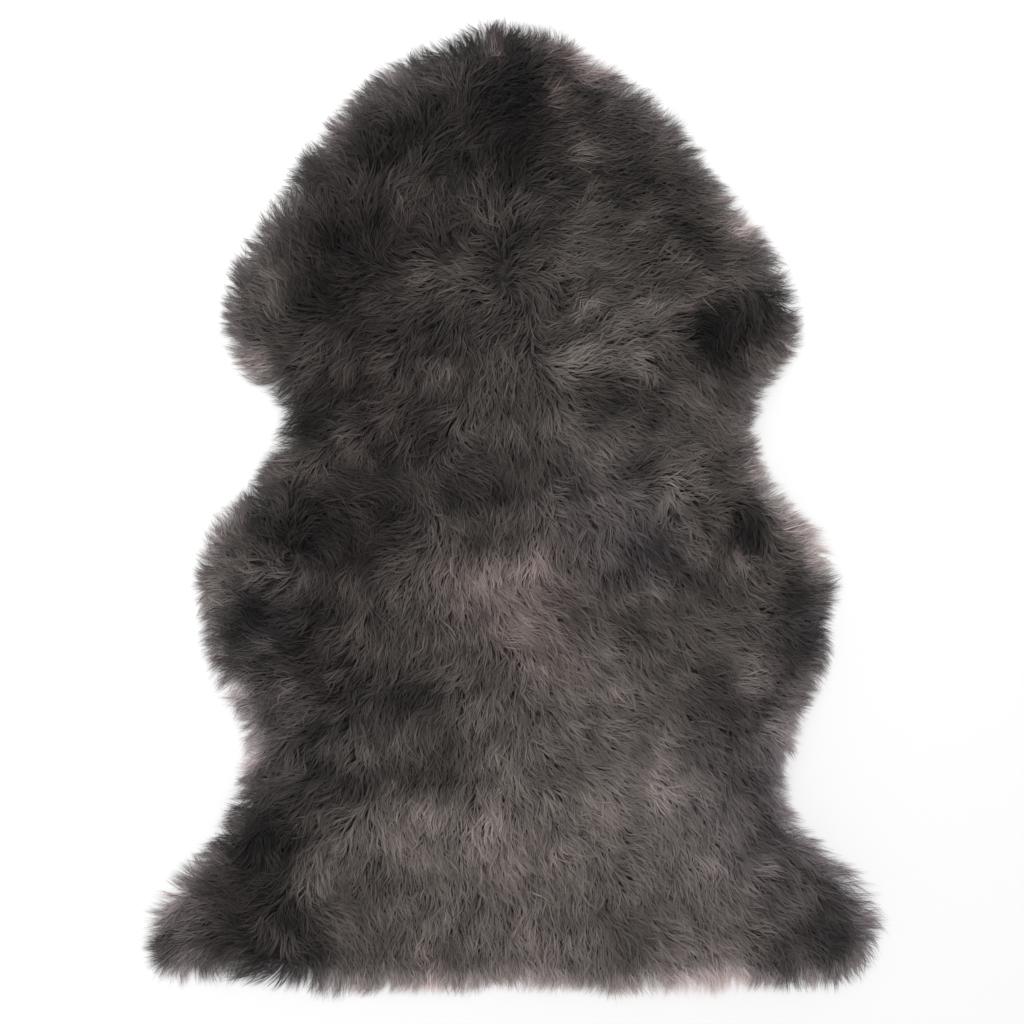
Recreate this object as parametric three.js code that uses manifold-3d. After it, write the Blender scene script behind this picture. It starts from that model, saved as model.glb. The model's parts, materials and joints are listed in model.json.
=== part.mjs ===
// Sheepskin rug: one tanned pelt, lying flat with its wool side up.
// Millimetres, +Z up, +Y towards the neck end. The origin is the middle of the underside.
//
// The skin and the wool that grows out of it are one piece, so they are one closed solid: a lumpy
// slab of wool with a thin skin under it, and a row of tapering locks fused into its rim.

import * as THREE from 'three';
import { mergeVertices } from 'three/addons/utils/BufferGeometryUtils.js';
import Module from 'manifold-3d';

const wasm = await Module();
wasm.setup();

// ---------------------------------------------------------------- driving sizes

const WOOL_REACH = 14;        // how far the rim locks stand out past the slab
const SKIN_INSET = 27;        // from the lock tips in to the cut edge of the skin
const SKIN_THICKNESS = 2.5;
const RIM_HEIGHT = 8;         // where the slab is widest
const PILE_HEIGHT = 35;       // floor to the furrows between the tufts
const SHOULDER = 62;          // how far in from the rim the wool reaches its full height

const TUFT_LENGTH = 118;      // one clump of wool, along the way the wool lies
const TUFT_WIDTH = 66;
const TUFT_RISE = 15;         // a tuft's crown over the furrows round it
const TUFT_PITCH = 64;        // from one tuft to the next
const TUFT_STRAY = 15;        // unevenness of their layout
const SURFACE_STEP = 20;      // size of the faces that follow the wool's surface

const LOCK_COUNT = 176;
const LOCK_LENGTH = 42;       // the inner half is buried in the slab
const LOCK_WIDTH = 14.5;
const LOCK_HEIGHT = 13;
const LOCK_BEND = 6;          // sideways bow of a lock
const LOCK_STRAY = 5;         // from the tips that reach furthest to those that reach least
const LOCK_SHORTFALL = 3;     // how far inside the outline the shortest tips end
const TIP_GAP = 10;           // neighbouring tips are never nearer than this

const HALF_LENGTH = 480;      // bounds of the layouts of tufts and faces
const HALF_WIDTH = 360;

const WOOL_COLOUR = 0x5d5650;

// ---------------------------------------------------------------- outline of the wool

// The two long sides, over the tips of the wool: shoulders, waist, flanks, hollow and hind legs.
const SIDES = [
  { up: 396, left: -166, right: 142 },
  { up: 338, left: -211, right: 188 },
  { up: 279, left: -249, right: 233 },
  { up: 239, left: -275, right: 259 },
  { up: 200, left: -282, right: 274 },
  { up: 161, left: -278, right: 277 },
  { up: 122, left: -247, right: 250 },
  { up: 102, left: -225, right: 239 },
  { up: 82, left: -227, right: 232 },
  { up: 43, left: -242, right: 243 },
  { up: 4, left: -271, right: 267 },
  { up: -12, left: -291, right: 281 },
  { up: -40, left: -301, right: 301 },
  { up: -75, left: -311, right: 310 },
  { up: -114, left: -305, right: 308 },
  { up: -153, left: -299, right: 305 },
  { up: -192, left: -274, right: 288 },
  { up: -232, left: -262, right: 274 },
  { up: -271, left: -268, right: 267 },
  { up: -310, left: -281, right: 279 },
  { up: -349, left: -312, right: 318 },
  { up: -389, left: -344, right: 350 },
  { up: -428, left: -356, right: 355 },
];

// The neck end, from left to right.
const NECK = [
  { across: -122, up: 434 },
  { across: -76, up: 455 },
  { across: -24, up: 474 },
  { across: 16, up: 470 },
  { across: 55, up: 456 },
  { across: 94, up: 431 },
];

// The tail end, from right to left.
const HEM = [
  { across: 335, up: -460 },
  { across: 270, up: -469 },
  { across: 205, up: -465 },
  { across: 94, up: -476 },
  { across: -4, up: -465 },
  { across: -60, up: -471 },
  { across: -161, up: -471 },
  { across: -275, up: -462 },
  { across: -344, up: -454 },
];

// Broad crests and hollows of the pile: the middle of each, its reach and its rise.
const LUMPS = [
  { across: -28, up: -88, reach: 95, rise: 7 },
  { across: 80, up: -160, reach: 60, rise: 4 },
  { across: 143, up: -275, reach: 80, rise: 4 },
  { across: -48, up: -330, reach: 100, rise: 4 },
  { across: 104, up: 176, reach: 70, rise: 5 },
  { across: -240, up: 190, reach: 50, rise: 4 },
  { across: 222, up: -158, reach: 50, rise: 4 },
  { across: -10, up: 400, reach: 60, rise: 4 },
  { across: -151, up: 254, reach: 60, rise: -6 },
  { across: -112, up: 360, reach: 60, rise: -4 },
  { across: 207, up: 176, reach: 50, rise: -8 },
  { across: -210, up: -16, reach: 50, rise: -8 },
  { across: -141, up: 97, reach: 60, rise: -5 },
  { across: -239, up: -119, reach: 45, rise: -6 },
  { across: 124, up: -35, reach: 45, rise: -5 },
  { across: 222, up: -24, reach: 40, rise: -6 },
  { across: 281, up: -114, reach: 45, rise: -5 },
  { across: -195, up: -237, reach: 50, rise: -5 },
  { across: 109, up: 107, reach: 40, rise: -4 },
  { across: -240, up: -364, reach: 75, rise: -5 },
  { across: 295, up: -400, reach: 50, rise: -5 },
];

// ---------------------------------------------------------------- small helpers

/** A repeatable source of numbers from 0 to 1. */
function makeChance(seed) {
  let state = seed;
  return () => {
    state = (state * 1664525 + 1013904223) % 4294967296;
    return state / 4294967296;
  };
}

const chance = makeChance(7);

/** An even draw from -size to +size. */
function stray(size) {
  return (2 * chance() - 1) * size;
}

/** The closed curve over the tips of the wool, anticlockwise seen from above. */
function woolOutline() {
  const leftSide = SIDES.map((row) => new THREE.Vector3(row.left, row.up, 0));
  const rightSide = SIDES.map((row) => new THREE.Vector3(row.right, row.up, 0));
  const neck = NECK.map((row) => new THREE.Vector3(row.across, row.up, 0));
  const hem = HEM.map((row) => new THREE.Vector3(row.across, row.up, 0));
  const clockwise = [...neck, ...rightSide, ...hem, ...leftSide.reverse()];
  return new THREE.CatmullRomCurve3(clockwise.reverse(), true, 'centripetal');
}

/** Points spaced evenly along a closed curve, each with its outward direction. */
function ringOf(curve, count) {
  curve.arcLengthDivisions = 8 * count;
  curve.updateArcLengths();
  const ring = [];
  for (let i = 0; i < count; i += 1) {
    const point = curve.getPointAt(i / count);
    const along = curve.getTangentAt(i / count);
    ring.push({ x: point.x, y: point.y, out: new THREE.Vector2(along.y, -along.x).normalize() });
  }
  return ring;
}

/** The ring moved inwards, its corners eased so that it never crosses itself. */
function insetRing(ring, inset) {
  const EASING_ROUNDS = 2;
  let moved = ring.map((p) => ({ x: p.x - p.out.x * inset, y: p.y - p.out.y * inset }));
  for (let round = 0; round < EASING_ROUNDS; round += 1) {
    moved = moved.map((p, i) => {
      const before = moved[(i + moved.length - 1) % moved.length];
      const after = moved[(i + 1) % moved.length];
      return { x: (before.x + 2 * p.x + after.x) / 4, y: (before.y + 2 * p.y + after.y) / 4 };
    });
  }
  return moved;
}

function isInside(ring, x, y) {
  let inside = false;
  ring.forEach((a, i) => {
    const b = ring[(i + 1) % ring.length];
    const crosses = (a.y > y) !== (b.y > y);
    if (crosses && x < a.x + ((y - a.y) * (b.x - a.x)) / (b.y - a.y)) {
      inside = !inside;
    }
  });
  return inside;
}

function distanceTo(ring, x, y) {
  let nearest = Infinity;
  ring.forEach((a, i) => {
    const b = ring[(i + 1) % ring.length];
    const run = (b.x - a.x) ** 2 + (b.y - a.y) ** 2;
    const along = ((x - a.x) * (b.x - a.x) + (y - a.y) * (b.y - a.y)) / run;
    const t = THREE.MathUtils.clamp(along, 0, 1);
    nearest = Math.min(nearest, Math.hypot(x - a.x - t * (b.x - a.x), y - a.y - t * (b.y - a.y)));
  });
  return nearest;
}

/** The way the wool lies: outwards round the neck end, and ever more tailwards below it. */
function layOfWool(x, y) {
  const NECK_CENTRE = 170;
  const TURN = 260;
  const FAN_LOST = 0.45;
  const tailward = THREE.MathUtils.smoothstep(NECK_CENTRE - y, -TURN / 2, TURN);
  const outward = new THREE.Vector2(x, Math.max(y - NECK_CENTRE, 0)).normalize();
  outward.multiplyScalar(1 - FAN_LOST * tailward);
  return outward.add(new THREE.Vector2(0, -tailward)).normalize();
}

// ---------------------------------------------------------------- triangulation

/** The circle through three points. */
function circleThrough(a, b, c) {
  const d = 2 * (a.x * (b.y - c.y) + b.x * (c.y - a.y) + c.x * (a.y - b.y));
  const aa = a.x * a.x + a.y * a.y;
  const bb = b.x * b.x + b.y * b.y;
  const cc = c.x * c.x + c.y * c.y;
  const x = (aa * (b.y - c.y) + bb * (c.y - a.y) + cc * (a.y - b.y)) / d;
  const y = (aa * (c.x - b.x) + bb * (a.x - c.x) + cc * (b.x - a.x)) / d;
  return { x, y, squared: (x - a.x) ** 2 + (y - a.y) ** 2 };
}

/** Delaunay triangles over a set of points, as anticlockwise triples of their places in it. */
function triangulate(points) {
  const FAR = 10000;
  const first = points.length;
  const all = [...points, { x: -FAR, y: -FAR }, { x: FAR, y: -FAR }, { x: 0, y: FAR }];
  const makeTriangle = (a, b, c) => ({ corners: [a, b, c], circle: circleThrough(all[a], all[b], all[c]) });
  let triangles = [makeTriangle(first, first + 1, first + 2)];
  points.forEach((p, index) => {
    const edges = new Map();
    triangles = triangles.filter(({ corners, circle }) => {
      if ((p.x - circle.x) ** 2 + (p.y - circle.y) ** 2 >= circle.squared) {
        return true;
      }
      corners.forEach((a, i) => {
        const b = corners[(i + 1) % 3];
        if (!edges.delete(`${b},${a}`)) {
          edges.set(`${a},${b}`, [a, b]);
        }
      });
      return false;
    });
    edges.forEach(([a, b]) => triangles.push(makeTriangle(a, b, index)));
  });
  return triangles.map(({ corners }) => corners).filter((corners) => Math.max(...corners) < first);
}

// ---------------------------------------------------------------- slab of wool

/** An uneven triangular layout of places, a pitch apart, over the whole pelt. */
function scatter(pitch, unevenness) {
  const rowPitch = pitch * Math.sin(Math.PI / 3);
  const places = [];
  for (let row = 0, y = -HALF_LENGTH; y < HALF_LENGTH; row += 1, y += rowPitch) {
    for (let x = -HALF_WIDTH + (row % 2) * (pitch / 2); x < HALF_WIDTH; x += pitch) {
      places.push({ x: x + stray(unevenness), y: y + stray(unevenness) });
    }
  }
  return places;
}

const tufts = scatter(TUFT_PITCH, TUFT_STRAY).map((place) => ({ ...place, size: 0.75 + 0.5 * chance() }));

/** What the tufts add to the height: each is a low dome, longer the way the wool lies. */
function tuftRelief(x, y) {
  const lay = layOfWool(x, y);
  let highest = 0;
  for (const tuft of tufts) {
    const along = ((x - tuft.x) * lay.x + (y - tuft.y) * lay.y) / (TUFT_LENGTH / 2);
    const across = ((y - tuft.y) * lay.x - (x - tuft.x) * lay.y) / (TUFT_WIDTH / 2);
    highest = Math.max(highest, tuft.size * (1 - along * along - across * across));
  }
  return TUFT_RISE * highest;
}

/** Height of the wool's top over the floor, at a place this far in from the slab's rim. */
function topHeight(x, y, inset) {
  const t = Math.min(inset / SHOULDER, 1);
  const roundness = Math.sqrt(1 - (1 - t) ** 2);
  let height = PILE_HEIGHT + tuftRelief(x, y);
  for (const lump of LUMPS) {
    const far = Math.hypot(x - lump.across, y - lump.up) / lump.reach;
    height += lump.rise * Math.exp(-far * far);
  }
  return RIM_HEIGHT + (height - RIM_HEIGHT) * roundness;
}

/** Points over the top of the slab, all of them well inside its last shoulder ring. */
function surfacePoints(edge, rim) {
  const CLEAR_OF_EDGE = 0.6 * SURFACE_STEP;
  const JITTER = 0.12 * SURFACE_STEP;
  return scatter(SURFACE_STEP, JITTER)
    .filter(({ x, y }) => isInside(edge, x, y) && distanceTo(edge, x, y) > CLEAR_OF_EDGE)
    .map(({ x, y }) => ({ x, y, z: topHeight(x, y, distanceTo(rim, x, y)) }));
}

/** The slab: skin underneath, undercut rim, rounded shoulder and tufted top. */
function woolSlab(outline) {
  const tips = ringOf(outline, Math.round(outline.getLength() / SURFACE_STEP));
  const count = tips.length;
  const rim = insetRing(tips, WOOL_REACH);
  const skin = insetRing(tips, SKIN_INSET);
  const SHOULDER_INSETS = [5, 13];
  const shoulders = SHOULDER_INSETS.map((inset) =>
    insetRing(tips, WOOL_REACH + inset).map((p) => ({ ...p, z: topHeight(p.x, p.y, inset) })));

  const rings = [
    skin.map((p) => ({ ...p, z: 0 })),
    skin.map((p) => ({ ...p, z: SKIN_THICKNESS })),
    rim.map((p) => ({ ...p, z: RIM_HEIGHT })),
    ...shoulders,
  ];
  const vertices = rings.flat();
  const faces = [];
  for (let ring = 0; ring + 1 < rings.length; ring += 1) {
    for (let i = 0; i < count; i += 1) {
      const low = ring * count + i;
      const lowNext = ring * count + ((i + 1) % count);
      faces.push([low, lowNext, lowNext + count], [low, lowNext + count, low + count]);
    }
  }

  // Underside: the skin's flat face.
  const flat = skin.map((p) => new THREE.Vector2(p.x, p.y));
  THREE.ShapeUtils.triangulateShape(flat, []).forEach(([a, b, c]) => faces.push([c, b, a]));

  // Top: the last shoulder ring and the tufted surface inside it.
  const edge = shoulders.at(-1);
  const surface = surfacePoints(edge, rim);
  const top = [...edge, ...surface];
  const offset = (rings.length - 1) * count;
  triangulate(top).forEach((corners) => {
    const x = corners.reduce((sum, corner) => sum + top[corner].x, 0) / 3;
    const y = corners.reduce((sum, corner) => sum + top[corner].y, 0) / 3;
    if (isInside(edge, x, y)) {
      faces.push(corners.map((corner) => corner + offset));
    }
  });
  vertices.push(...surface);
  return { vertices, faces };
}

// ---------------------------------------------------------------- locks at the rim

/**
 * One lock: three-sided, its root inside the slab, its lower face level on the floor under its
 * outer half, and tapering to a tip on the floor.
 */
function rimLock(tip, heading, size) {
  const STATIONS = [
    { along: 0, lift: 7, width: 0.8, height: 0.8 },
    { along: 0.42, lift: 3, width: 1, height: 1 },
    { along: 0.72, lift: 0, width: 0.8, height: 0.72 },
  ];
  const side = new THREE.Vector2(-heading.y, heading.x);
  const root = tip.clone().addScaledVector(heading, -LOCK_LENGTH);
  const bow = tip.clone().add(root).multiplyScalar(0.5).addScaledVector(side, stray(LOCK_BEND));
  const spine = new THREE.QuadraticBezierCurve(root, bow, tip);
  const vertices = [];
  const faces = [[0, 1, 2]];
  STATIONS.forEach((station, k) => {
    const middle = spine.getPoint(station.along);
    const half = (station.width * size * LOCK_WIDTH) / 2;
    const ridge = station.lift + station.height * LOCK_HEIGHT;
    vertices.push({ x: middle.x + side.x * half, y: middle.y + side.y * half, z: station.lift });
    vertices.push({ x: middle.x - side.x * half, y: middle.y - side.y * half, z: station.lift });
    vertices.push({ x: middle.x, y: middle.y, z: ridge });
    const isLast = k === STATIONS.length - 1;
    for (let corner = 0; corner < 3; corner += 1) {
      const a = 3 * k + corner;
      const b = 3 * k + ((corner + 1) % 3);
      if (isLast) {
        faces.push([b, a, 3 * STATIONS.length]);
      } else {
        faces.push([a, b + 3, b], [a, a + 3, b + 3]);
      }
    }
  });
  vertices.push({ x: tip.x, y: tip.y, z: 0 });
  return { vertices, faces };
}

/** All the locks round the rim, each leaning between straight out and the way the wool lies. */
function rimLocks(outline) {
  const SHARE_OF_LAY = 0.55;
  const locks = [];
  let lastTip = null;
  for (const place of ringOf(outline, LOCK_COUNT)) {
    const heading = layOfWool(place.x, place.y).multiplyScalar(SHARE_OF_LAY).add(place.out).normalize();
    const reach = LOCK_STRAY * (1 - chance()) - LOCK_SHORTFALL;
    const tip = new THREE.Vector2(place.x, place.y).addScaledVector(place.out, reach);
    const size = 0.8 + 0.4 * chance();
    if (lastTip && lastTip.distanceTo(tip) < TIP_GAP) {
      continue;
    }
    locks.push(rimLock(tip, heading, size));
    lastTip = tip;
  }
  return locks;
}

// ---------------------------------------------------------------- joining and placing

/** A closed solid from vertices and outward triangles. */
function toSolid({ vertices, faces }) {
  const geometry = new THREE.BufferGeometry();
  const positions = vertices.flatMap((p) => [p.x, p.y, p.z]);
  geometry.setAttribute('position', new THREE.Float32BufferAttribute(positions, 3));
  geometry.setIndex(faces.flat());
  const merged = mergeVertices(geometry);
  return new wasm.Manifold(new wasm.Mesh({
    numProp: 3,
    vertProperties: new Float32Array(merged.attributes.position.array),
    triVerts: new Uint32Array(merged.index.array),
  }));
}

/** The solid as a three.js geometry, with its origin in the middle of its underside. */
function toGeometry(solid) {
  const mesh = solid.getMesh();
  const geometry = new THREE.BufferGeometry();
  geometry.setAttribute('position', new THREE.BufferAttribute(mesh.vertProperties, 3));
  geometry.setIndex(new THREE.BufferAttribute(mesh.triVerts, 1));
  geometry.computeBoundingBox();
  const { min, max } = geometry.boundingBox;
  geometry.translate(-(min.x + max.x) / 2, -(min.y + max.y) / 2, -min.z);
  geometry.computeVertexNormals();
  return geometry;
}

/** The whole pelt: the slab with every rim lock fused into it. */
function makePelt() {
  const outline = woolOutline();
  let pelt = toSolid(woolSlab(outline));
  for (const lock of rimLocks(outline)) {
    pelt = pelt.add(toSolid(lock));
  }
  // Neighbouring locks can close off a pinch of space under the rim: only the outer body is kept.
  const bodies = pelt.decompose();
  pelt = bodies.reduce((largest, body) => (body.volume() > largest.volume() ? body : largest));
  const wool = new THREE.MeshStandardMaterial({ color: WOOL_COLOUR, roughness: 0.95, metalness: 0 });
  const mesh = new THREE.Mesh(toGeometry(pelt), wool);
  mesh.name = 'pelt';
  return mesh;
}

const rug = new THREE.Group();
rug.add(makePelt());

export default rug;
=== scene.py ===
"""Sheepskin rug: a tanned skin, the dense underwool on it, and its long combed wool.

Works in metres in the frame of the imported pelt: +Y towards the neck end, +Z up through the wool.
The tables below are in millimetres on the pelt, which the functions turn into metres.
"""

import json
import math
from contextlib import contextmanager

import bpy
import numpy as np
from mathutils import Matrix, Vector
from mathutils.bvhtree import BVHTree
from mathutils.kdtree import KDTree

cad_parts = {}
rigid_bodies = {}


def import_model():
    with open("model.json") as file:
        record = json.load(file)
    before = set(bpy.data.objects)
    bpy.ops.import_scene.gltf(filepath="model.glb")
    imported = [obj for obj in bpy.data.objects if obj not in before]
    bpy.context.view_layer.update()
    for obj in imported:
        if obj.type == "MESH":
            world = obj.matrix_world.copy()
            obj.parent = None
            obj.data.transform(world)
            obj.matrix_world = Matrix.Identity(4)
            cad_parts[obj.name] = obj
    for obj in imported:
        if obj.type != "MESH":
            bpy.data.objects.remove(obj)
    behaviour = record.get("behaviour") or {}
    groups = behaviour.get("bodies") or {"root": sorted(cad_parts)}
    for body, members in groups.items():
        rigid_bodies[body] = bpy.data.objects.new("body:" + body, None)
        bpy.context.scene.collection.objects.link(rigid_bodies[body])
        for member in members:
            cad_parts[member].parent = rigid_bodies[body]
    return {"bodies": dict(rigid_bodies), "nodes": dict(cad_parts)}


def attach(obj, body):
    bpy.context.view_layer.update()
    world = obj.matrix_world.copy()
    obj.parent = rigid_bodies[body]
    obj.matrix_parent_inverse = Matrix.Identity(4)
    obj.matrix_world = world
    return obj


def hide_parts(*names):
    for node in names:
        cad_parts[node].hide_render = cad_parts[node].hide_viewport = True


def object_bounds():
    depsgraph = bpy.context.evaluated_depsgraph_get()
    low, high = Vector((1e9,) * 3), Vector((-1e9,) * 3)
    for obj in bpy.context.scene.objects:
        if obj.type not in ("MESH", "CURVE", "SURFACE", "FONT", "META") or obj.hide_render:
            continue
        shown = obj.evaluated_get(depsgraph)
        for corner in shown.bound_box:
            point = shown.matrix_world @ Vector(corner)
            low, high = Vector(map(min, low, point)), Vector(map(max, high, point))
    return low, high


bl_info = {
    "name": "Sheepskin rug",
    "version": (1, 0, 0),
    "blender": (4, 5, 0),
    "location": "3D View > Sidebar > Sheepskin",
    "description": "Dresses a packed pelt with its skin, underwool and combed wool",
    "category": "Object",
}

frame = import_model()
CAD_LOW, CAD_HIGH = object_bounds()
PELT = frame["nodes"]["pelt"]
BODY = "root" if "root" in frame["bodies"] else next(iter(frame["bodies"]))

MM = 0.001
SEED = 20

# -------- tables, in millimetres

# The way the wool lies: across, up, heading in degrees (0 to the right, 90 towards the neck end).
LAY = (
    # neck end: a fan from the left rim over the top to the right
    (-24, 450, 80), (-12, 438, 70), (-51, 425, 100), (-73, 440, 150), (-112, 418, 166), (-82, 408, 140),
    (-98, 396, 145), (-125, 390, 158), (-150, 381, 175), (-92, 376, 95), (-73, 381, 72), (-43, 381, 40),
    (-95, 354, 38), (-60, 360, 45), (-24, 415, 70), (-10, 410, 22), (6, 400, 12), (6, 426, 45),
    (40, 426, 8), (94, 401, 5), (143, 362, 14), (161, 330, 14), (182, 313, 8), (227, 264, 2),
    (261, 215, -5), (84, 352, 12), (104, 342, 24), (104, 293, 10), (163, 254, 3), (45, 274, 8),
    (104, 244, 22), (26, 342, 22), (-12, 330, 98), (26, 312, -8), (124, 215, 20),
    # left shoulder
    (-190, 342, 146), (-160, 345, 135), (-151, 361, 100), (-125, 361, 83), (-112, 340, 52),
    (-131, 322, 48), (-151, 322, 116), (-190, 302, 113), (-220, 293, 118), (-247, 259, 138),
    (-269, 215, 140), (-229, 205, 128), (-269, 180, 166), (-249, 176, 140), (-247, 136, 165),
    (-252, 128, 160), (-131, 300, 72), (-112, 323, 80), (-92, 322, 70), (-73, 303, 95), (-43, 303, 70),
    (-14, 303, 66), (6, 303, 45), (6, 274, 46), (-53, 283, 128), (-63, 264, 99), (-171, 283, 104),
    (-131, 264, 84), (-24, 283, 120), (-163, 244, 155), (-92, 244, 200),
    # band across the shoulders
    (-38, 248, 188), (14, 248, 15), (11, 223, 8), (-141, 222, 188), (-82, 229, 185), (-33, 234, 182),
    (-190, 215, 121), (-190, 200, 154), (-160, 200, -113), (-117, 190, -170), (-73, 185, -135),
    (-14, 190, -165), (-14, 160, -130), (74, 222, 28), (96, 222, 20),
    # middle of the back
    (-63, 146, -92), (-55, 160, -88), (-14, 136, -90), (31, 115, -98), (-82, 107, -95),
    (-170, 166, -108), (-141, 178, 180), (-206, 180, -135), (-161, 130, -106), (-131, 158, -160),
    (-131, 140, -113), (-92, 146, -92), (-220, 146, 182), (-92, 166, -125), (-78, 95, -155),
    (-43, 88, -100), (26, 126, -56), (-206, 115, -130), (-98, 72, -105), (-40, 48, -28),
    # right of the back, down to the right waist
    (84, 185, 27), (100, 192, 25), (65, 175, 35), (26, 205, -80), (118, 203, 28), (118, 182, 25),
    (182, 215, 0), (204, 204, 8), (45, 150, 8), (65, 160, 20), (84, 160, 8), (104, 160, 8),
    (84, 141, -8), (143, 156, -22), (123, 107, -30), (182, 107, -32), (202, 146, -45), (261, 166, -2),
    (269, 180, 8), (241, 166, -22), (202, 178, -92), (190, 205, 6), (182, 182, 40), (221, 185, -96),
    (241, 188, -113), (84, 102, 0), (74, 68, -40), (182, 48, -15), (154, 28, 20), (225, 28, 5),
    (74, 4, -45), (104, -35, -60), (161, 7, -118), (182, 8, 0), (204, -5, 5), (182, -15, -30),
    (206, -38, -108), (206, -56, -82), (215, -48, -96), (238, -18, -95), (264, 0, 5), (280, -20, 0),
    (225, -42, -112), (225, -60, -75), (270, -45, -20), (172, -38, -35), (182, -74, -45),
    (247, -79, -22), (204, -105, -20), (193, -124, -24), (170, -101, -52),
    # right flank and hind leg
    (290, -104, -24), (292, -146, -38), (285, -172, -18), (250, -166, -20), (104, -128, -33),
    (118, -187, -33), (118, -211, -42), (182, -168, -33), (251, -231, -50), (256, -300, -50),
    (84, -207, -40), (104, -155, -65), (133, -270, -24), (110, -325, -25), (84, -305, -38),
    (45, -225, -45), (45, -260, -30), (45, -300, -44), (26, -300, -60), (26, -340, -62),
    (84, -345, -52), (64, -381, -82), (182, -273, -50), (204, -273, -70), (161, -297, -55),
    (161, -318, -60), (123, -383, -65), (150, -403, -38), (104, -442, -75), (123, -432, -48),
    (182, -375, -75), (207, -383, -68), (202, -422, -42), (228, -403, -28), (247, -381, -32),
    (244, -447, -60), (280, -334, -40), (315, -383, -52), (329, -432, -55),
    # spine, down to the hem
    (1, 68, -90), (1, 9, -95), (-33, -15, -80), (-4, -31, -108), (31, -38, -75), (-4, -50, -106),
    (66, -46, -95), (50, -82, -32), (-43, -60, -92), (-53, -99, -72), (-14, -84, -60), (14, -104, -15),
    (54, -103, -48), (-55, -122, -92), (30, -143, -60), (-24, -158, -90), (-30, -187, -80),
    (-57, -190, -140), (-4, -236, -90), (-55, -230, -85), (-55, -295, -115), (-4, -334, -82),
    (-33, -296, -90), (-33, -318, -78), (1, -422, -90),
    # left of the spine
    (-92, -89, -90), (-112, -101, -82), (-141, -105, -85), (-136, -132, -85), (-163, -122, -155),
    (-68, -182, -135), (-141, -177, -120), (-131, -217, -86), (-151, -246, -92), (-107, -217, -86),
    (-92, -246, -90), (-76, -273, -120), (-92, -290, -100), (-131, -325, -68), (-102, -335, -72),
    (-83, -350, -75), (-151, -350, -98), (-82, -383, -90), (-33, -442, -90), (-131, -437, -88),
    (-163, -424, -50), (-110, -15, 190), (-110, -38, 182), (-122, -55, 195), (-131, -70, 200),
    (-83, -55, -110),
    # left waist
    (-215, 102, 200), (-190, 110, -140), (-151, 100, 184), (-163, 75, 190), (-122, 108, 202),
    (-78, 88, 208), (-195, 50, 200), (-122, 60, -118), (-161, 45, -55), (-180, 28, 15), (-131, 28, -8),
    (-92, 5, -60), (-230, 48, -145), (-246, 18, 145),
    # swirl on the left flank
    (-224, 5, 118), (-200, 8, 20), (-170, 6, -28), (-148, -12, -60), (-150, -40, -85), (-165, -65, -92),
    (-190, -62, -100), (-205, -22, 10), (-180, -25, -30), (-228, -30, 115), (-213, -78, -150),
    (-190, -92, -98),
    # left flank
    (-268, -10, 145), (-262, -30, 152), (-256, -52, 160), (-262, -72, 170), (-298, -63, 178),
    (-285, -90, 176), (-293, -138, 172), (-249, -105, 150), (-229, -99, 190), (-190, -112, -152),
    (-229, -128, 165), (-166, -140, -150), (-278, -177, 183), (-200, -172, 185), (-151, -150, -109),
    (-244, -207, -138), (-200, -202, 195), (-190, -230, -120), (-163, -230, -130), (-244, -241, -138),
    (-170, -250, -100), (-175, -273, -135), (-185, -295, -122), (-206, -273, 195),
    # left hind leg
    (-249, -300, -82), (-249, -335, -80), (-227, -295, 185), (-200, -315, -128), (-285, -330, 168),
    (-264, -303, -162), (-285, -364, 148), (-270, -396, 142), (-303, -380, -170), (-327, -405, -148),
    (-293, -430, -150), (-249, -378, 188), (-210, -393, -110), (-184, -403, -20), (-184, -422, -20),
    (-227, -424, -120), (-200, -432, -62), (-184, -444, -72), (-160, -462, -84), (-215, -462, -105),
    (-239, -447, 183),
)

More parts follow.
